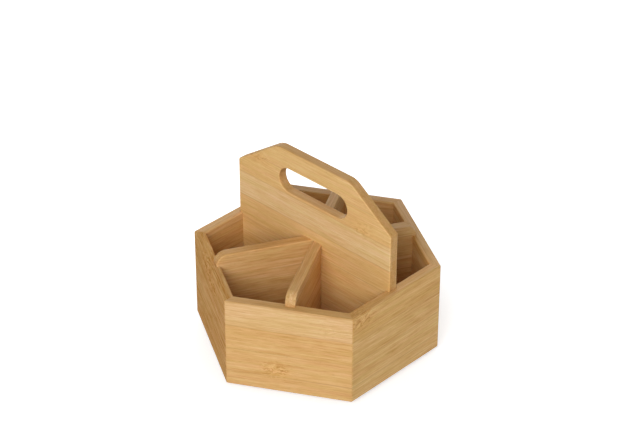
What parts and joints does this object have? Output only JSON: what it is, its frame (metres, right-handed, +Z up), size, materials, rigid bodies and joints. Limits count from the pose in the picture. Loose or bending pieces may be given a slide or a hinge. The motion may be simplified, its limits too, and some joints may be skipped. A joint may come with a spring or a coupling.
{
  "type": "rotating desk organizer",
  "caption": "Hexagonal bamboo desk organizer with upright dividers and a slotted handle panel, which turns on a ball bearing swivel over a round base with rubber feet.",
  "frame": {"origin": "on the turning axis, at the undersides of the rubber feet", "axes": "+Z up, along the turning axis; X along the handle panel; Y across it, through two opposite corners of the box"},
  "size_m": [0.165, 0.1902, 0.1545],
  "materials": {
    "bamboo": "satin",
    "plate_steel": "satin",
    "screw_steel": "satin",
    "ball_steel": "polished",
    "cage_plastic": "matte",
    "foot_rubber": "matte"
  },
  "bodies": {
    "base": {"base_disc": "bamboo", "swivel_lower_plate": "plate_steel", "lower_screws": "screw_steel", "centre_rivet": "plate_steel", "rubber_foot_1": "foot_rubber", "rubber_foot_2": "foot_rubber", "rubber_foot_3": "foot_rubber", "rubber_foot_4": "foot_rubber"},
    "ball_ring": {"ball_cage": "cage_plastic", "bearing_balls": "ball_steel"},
    "organizer": {"wall_right": "bamboo", "wall_rear_right": "bamboo", "wall_rear_left": "bamboo", "wall_left": "bamboo", "wall_front_left": "bamboo", "wall_front_right": "bamboo", "bottom_board": "bamboo", "handle_panel": "bamboo", "divider_front_right": "bamboo", "divider_rear_right": "bamboo", "divider_front_left": "bamboo", "divider_rear_left": "bamboo", "swivel_upper_plate": "plate_steel", "upper_screws": "screw_steel"}
  },
  "joints": [
    {"name": "spin", "type": "hinge", "parent": "base", "child": "organizer", "pos_m": [0, 0, 0.012], "axis": [0, 0, 1], "continuous": true},
    {"name": "ball_ring_turn", "type": "hinge", "parent": "base", "child": "ball_ring", "pos_m": [0, 0, 0.012], "axis": [0, 0, 1], "continuous": true}
  ],
  "couplings": [
    {"joint": "ball_ring_turn", "follows": "spin", "ratio": 0.5}
  ]
}
